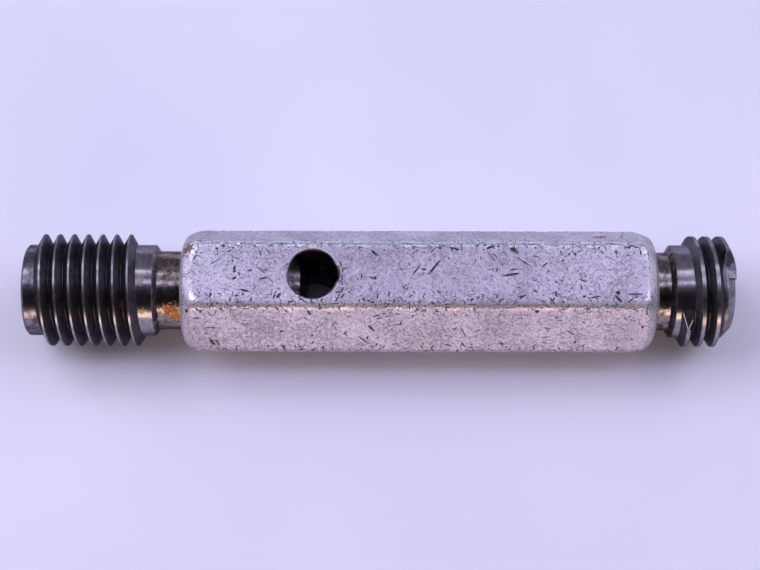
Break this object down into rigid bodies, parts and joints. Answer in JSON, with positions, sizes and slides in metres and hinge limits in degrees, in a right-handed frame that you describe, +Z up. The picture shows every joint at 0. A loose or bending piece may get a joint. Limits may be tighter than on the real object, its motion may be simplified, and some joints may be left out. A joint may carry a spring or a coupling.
{
  "type": "thread plug gauge",
  "caption": "Thread plug gauge with a hexagonal handle, a long GO threaded plug wedged in one end, a short NOT-GO plug in the other, and a cross hole for a drift.",
  "frame": {"origin": "under the middle of the length, on the surface that the gauge lies on", "axes": "+X along the gauge's axis from the GO end to the NOT-GO end, +Z up through a flat of the handle"},
  "size_m": [0.1392, 0.0252, 0.0222],
  "materials": {
    "handle_aluminium": "bare aluminium, satin, covered in nicks",
    "gauge_steel": "ground hardened steel"
  },
  "bodies": {
    "root": {"handle": "handle_aluminium", "go_member": "gauge_steel", "not_go_member": "gauge_steel"}
  },
  "joints": []
}
